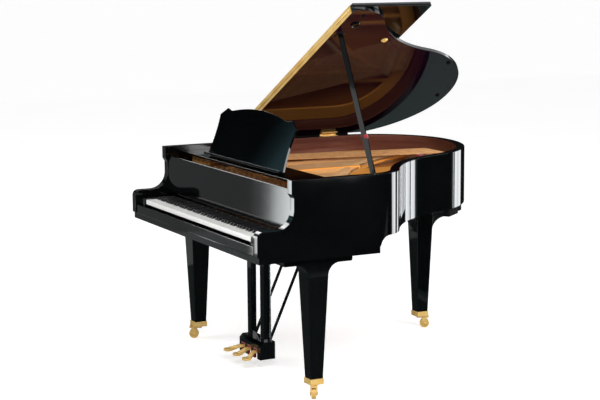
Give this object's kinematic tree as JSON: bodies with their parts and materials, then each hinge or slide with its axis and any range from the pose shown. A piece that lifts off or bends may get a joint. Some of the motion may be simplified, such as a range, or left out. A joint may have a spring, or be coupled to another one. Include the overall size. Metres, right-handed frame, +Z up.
{
  "type": "grand piano",
  "caption": "Small black grand piano with raised lid on a prop stick, folded front flap, music desk, keyboard, pedal lyre and tapered legs on brass casters.",
  "frame": {"origin": "floor level under the middle of the bounding box", "axes": "+X from the bass side to the treble side, +Y from the keyboard to the tail, +Z up"},
  "size_m": [1.456, 1.6, 1.7321],
  "materials": {
    "black_polish": "black high-gloss polyester over wood",
    "mahogany": "glossy red-brown veneer",
    "spruce": "clear satin varnish",
    "maple": "bare satin",
    "gold_plate": "satin gold-bronze lacquer",
    "steel_wire": "bright drawn wire",
    "copper_wire": "copper winding",
    "white_keys": "gloss",
    "black_keys": "satin",
    "hammer_felt": "pale wooden shanks and heads with felt",
    "damper_wood": "black satin blocks with felt below",
    "brass": "polished",
    "rod_steel": "dark satin"
  },
  "bodies": {
    "case": {"outer_rim": "black_polish", "inner_rim": "mahogany", "keybed": "black_polish", "key_slip": "black_polish", "key_blocks": "black_polish", "back_frame": "spruce", "soundboard": "spruce", "bridges": "maple", "iron_plate": "gold_plate", "pin_block": "maple", "string_pins": "steel_wire", "bass_strings": "copper_wire", "treble_strings": "steel_wire", "desk_rails": "black_polish", "lid_hinge_case_leaves": "brass", "prop_bracket": "black_polish", "leg_front_left": "black_polish", "leg_front_right": "black_polish", "leg_rear": "black_polish", "leg_ferrules": "brass", "pedal_lyre": "black_polish", "lyre_braces": "black_polish"},
    "lid": {"lid_main": "black_polish", "flap_hinge_main_leaf": "brass", "lid_fittings": "brass"},
    "flap": {"lid_flap": "black_polish", "flap_hinge_flap_leaf": "brass"},
    "prop": {"prop_main": "black_polish"},
    "short_prop": {"prop_short": "black_polish"},
    "tray": {"desk_tray": "black_polish"},
    "desk": {"music_desk": "black_polish"},
    "strut": {"desk_strut": "black_polish"},
    "fall": {"fallboard": "black_polish"},
    "action": {"action_frame": "maple"},
    "hammer_set": {"hammers": "hammer_felt"},
    "damper_set": {"dampers": "damper_wood"},
    "key_set_c": {"keys_c": "white_keys"},
    "key_set_c_sharp": {"keys_c_sharp": "black_keys"},
    "key_set_d": {"keys_d": "white_keys"},
    "key_set_d_sharp": {"keys_d_sharp": "black_keys"},
    "key_set_e": {"keys_e": "white_keys"},
    "key_set_f": {"keys_f": "white_keys"},
    "key_set_f_sharp": {"keys_f_sharp": "black_keys"},
    "key_set_g": {"keys_g": "white_keys"},
    "key_set_g_sharp": {"keys_g_sharp": "black_keys"},
    "key_set_a": {"keys_a": "white_keys"},
    "key_set_a_sharp": {"keys_a_sharp": "black_keys"},
    "key_set_b": {"keys_b": "white_keys"},
    "pedal_left_body": {"pedal_left": "brass"},
    "rod_left_body": {"pedal_rod_left": "rod_steel"},
    "pedal_middle_body": {"pedal_middle": "brass"},
    "rod_middle_body": {"pedal_rod_middle": "rod_steel"},
    "pedal_right_body": {"pedal_right": "brass"},
    "rod_right_body": {"pedal_rod_right": "rod_steel"},
    "swivel_front_left": {"caster_fork_front_left": "brass"},
    "wheel_front_left": {"caster_wheel_front_left": "brass"},
    "swivel_front_right": {"caster_fork_front_right": "brass"},
    "wheel_front_right": {"caster_wheel_front_right": "brass"},
    "swivel_rear": {"caster_fork_rear": "brass"},
    "wheel_rear": {"caster_wheel_rear": "brass"}
  },
  "joints": [
    {"name": "lid_lift", "type": "hinge", "parent": "case", "child": "lid", "pos_m": [-0.724, 0, 0.992], "axis": [0, -1, 0], "range_deg": [0, 10]},
    {"name": "flap_fold", "type": "hinge", "parent": "lid", "child": "flap", "pos_m": [-0.73384, -0.243, 1.00998], "axis": [0.8771, 0, 0.4802], "range_deg": [0, 170]},
    {"name": "prop_fold", "type": "hinge", "parent": "case", "child": "prop", "pos_m": [0.66799, -0.196, 0.962], "axis": [-0.6555, -0.6788, -0.3308], "range_deg": [0, 70]},
    {"name": "short_prop_swing", "type": "hinge", "parent": "prop", "child": "short_prop", "pos_m": [0.6562, -0.19217, 0.99413], "axis": [0.6043, -0.7343, 0.3093], "range_deg": [0, 15]},
    {"name": "tray_slide", "type": "slide", "parent": "case", "child": "tray", "axis": [0, -1, 0], "range_m": [0, 0.04]},
    {"name": "desk_fold", "type": "hinge", "parent": "tray", "child": "desk", "pos_m": [0, -0.512, 0.9693], "axis": [-1, 0, 0], "range_deg": [0, 70]},
    {"name": "strut_fold", "type": "hinge", "parent": "desk", "child": "strut", "pos_m": [0, -0.47705, 1.063], "axis": [1, 0, 0], "range_deg": [0, 137]},
    {"name": "fallboard_close", "type": "hinge", "parent": "case", "child": "fall", "pos_m": [0, -0.618, 0.768], "axis": [1, 0, 0], "range_deg": [0, 84]},
    {"name": "action_shift", "type": "slide", "parent": "case", "child": "action", "axis": [1, 0, 0], "range_m": [0, 0.003], "stiffness_N_per_m": 4000, "springref_m": -0.004},
    {"name": "hammer_strike", "type": "hinge", "parent": "action", "child": "hammer_set", "pos_m": [0, -0.494, 0.842], "axis": [1, 0, 0], "range_deg": [0, 18]},
    {"name": "damper_lift", "type": "slide", "parent": "case", "child": "damper_set", "axis": [0, 0, 1], "range_m": [0, 0.0061]},
    {"name": "press_c", "type": "hinge", "parent": "action", "child": "key_set_c", "pos_m": [0, -0.537, 0.7137], "axis": [1, 0, 0], "range_deg": [0, 2.4], "stiffness_Nm_per_rad": 10, "springref_deg": -5.16},
    {"name": "press_c_sharp", "type": "hinge", "parent": "action", "child": "key_set_c_sharp", "pos_m": [0, -0.537, 0.7137], "axis": [1, 0, 0], "range_deg": [0, 2.4], "stiffness_Nm_per_rad": 10, "springref_deg": -5.16},
    {"name": "press_d", "type": "hinge", "parent": "action", "child": "key_set_d", "pos_m": [0, -0.537, 0.7137], "axis": [1, 0, 0], "range_deg": [0, 2.4], "stiffness_Nm_per_rad": 10, "springref_deg": -5.16},
    {"name": "press_d_sharp", "type": "hinge", "parent": "action", "child": "key_set_d_sharp", "pos_m": [0, -0.537, 0.7137], "axis": [1, 0, 0], "range_deg": [0, 2.4], "stiffness_Nm_per_rad": 10, "springref_deg": -5.16},
    {"name": "press_e", "type": "hinge", "parent": "action", "child": "key_set_e", "pos_m": [0, -0.537, 0.7137], "axis": [1, 0, 0], "range_deg": [0, 2.4], "stiffness_Nm_per_rad": 10, "springref_deg": -5.16},
    {"name": "press_f", "type": "hinge", "parent": "action", "child": "key_set_f", "pos_m": [0, -0.537, 0.7137], "axis": [1, 0, 0], "range_deg": [0, 2.4], "stiffness_Nm_per_rad": 10, "springref_deg": -5.16},
    {"name": "press_f_sharp", "type": "hinge", "parent": "action", "child": "key_set_f_sharp", "pos_m": [0, -0.537, 0.7137], "axis": [1, 0, 0], "range_deg": [0, 2.4], "stiffness_Nm_per_rad": 10, "springref_deg": -5.16},
    {"name": "press_g", "type": "hinge", "parent": "action", "child": "key_set_g", "pos_m": [0, -0.537, 0.7137], "axis": [1, 0, 0], "range_deg": [0, 2.4], "stiffness_Nm_per_rad": 10, "springref_deg": -5.16},
    {"name": "press_g_sharp", "type": "hinge", "parent": "action", "child": "key_set_g_sharp", "pos_m": [0, -0.537, 0.7137], "axis": [1, 0, 0], "range_deg": [0, 2.4], "stiffness_Nm_per_rad": 10, "springref_deg": -5.16},
    {"name": "press_a", "type": "hinge", "parent": "action", "child": "key_set_a", "pos_m": [0, -0.537, 0.7137], "axis": [1, 0, 0], "range_deg": [0, 2.4], "stiffness_Nm_per_rad": 10, "springref_deg": -5.16},
    {"name": "press_a_sharp", "type": "hinge", "parent": "action", "child": "key_set_a_sharp", "pos_m": [0, -0.537, 0.7137], "axis": [1, 0, 0], "range_deg": [0, 2.4], "stiffness_Nm_per_rad": 10, "springref_deg": -5.16},
    {"name": "press_b", "type": "hinge", "parent": "action", "child": "key_set_b", "pos_m": [0, -0.537, 0.7137], "axis": [1, 0, 0], "range_deg": [0, 2.4], "stiffness_Nm_per_rad": 10, "springref_deg": -5.16},
    {"name": "press_pedal_left", "type": "hinge", "parent": "case", "child": "pedal_left_body", "pos_m": [-0.068, -0.459, 0.084], "axis": [1, 0, 0], "range_deg": [0, 8]},
    {"name": "rod_lift_left", "type": "slide", "parent": "case", "child": "rod_left_body", "axis": [0, 0, 1], "range_m": [0, 0.0036]},
    {"name": "press_pedal_middle", "type": "hinge", "parent": "case", "child": "pedal_middle_body", "pos_m": [0, -0.459, 0.084], "axis": [1, 0, 0], "range_deg": [0, 8], "stiffness_Nm_per_rad": 15, "springref_deg": -5.73},
    {"name": "rod_lift_middle", "type": "slide", "parent": "case", "child": "rod_middle_body", "axis": [0, 0, 1], "range_m": [0, 0.0036]},
    {"name": "press_pedal_right", "type": "hinge", "parent": "case", "child": "pedal_right_body", "pos_m": [0.068, -0.459, 0.084], "axis": [1, 0, 0], "range_deg": [0, 8], "stiffness_Nm_per_rad": 15, "springref_deg": -5.73},
    {"name": "rod_lift_right", "type": "slide", "parent": "case", "child": "rod_right_body", "axis": [0, 0, 1], "range_m": [0, 0.0036]},
    {"name": "caster_swivel_front_left", "type": "hinge", "parent": "case", "child": "swivel_front_left", "pos_m": [-0.64, -0.487, 0], "axis": [0, 0, 1], "continuous": true},
    {"name": "caster_roll_front_left", "type": "hinge", "parent": "swivel_front_left", "child": "wheel_front_left", "pos_m": [-0.65127, -0.50819, 0.024], "axis": [0.8829, -0.4695, 0], "continuous": true},
    {"name": "caster_swivel_front_right", "type": "hinge", "parent": "case", "child": "swivel_front_right", "pos_m": [0.64, -0.487, 0], "axis": [0, 0, 1], "continuous": true},
    {"name": "caster_roll_front_right", "type": "hinge", "parent": "swivel_front_right", "child": "wheel_front_right", "pos_m": [0.66119, -0.49827, 0.024], "axis": [0.4695, 0.8829, 0], "continuous": true},
    {"name": "caster_swivel_rear", "type": "hinge", "parent": "case", "child": "swivel_rear", "pos_m": [-0.298, 0.628, 0], "axis": [0, 0, 1], "continuous": true},
    {"name": "caster_roll_rear", "type": "hinge", "parent": "swivel_rear", "child": "wheel_rear", "pos_m": [-0.28673, 0.64919, 0.024], "axis": [-0.8829, 0.4695, 0], "continuous": true}
  ],
  "couplings": [
    {"joint": "strut_fold", "follows": "desk_fold", "ratio": 1.948},
    {"joint": "rod_lift_middle", "follows": "press_pedal_middle", "m_per_rad": 0.0256},
    {"joint": "rod_lift_right", "follows": "press_pedal_right", "m_per_rad": 0.0256},
    {"joint": "press_pedal_left", "follows": "action_shift", "rad_per_m": 46.542},
    {"joint": "rod_lift_left", "follows": "action_shift", "ratio": 1.1915},
    {"joint": "damper_lift", "follows": "press_pedal_right", "m_per_rad": 0.042972}
  ]
}
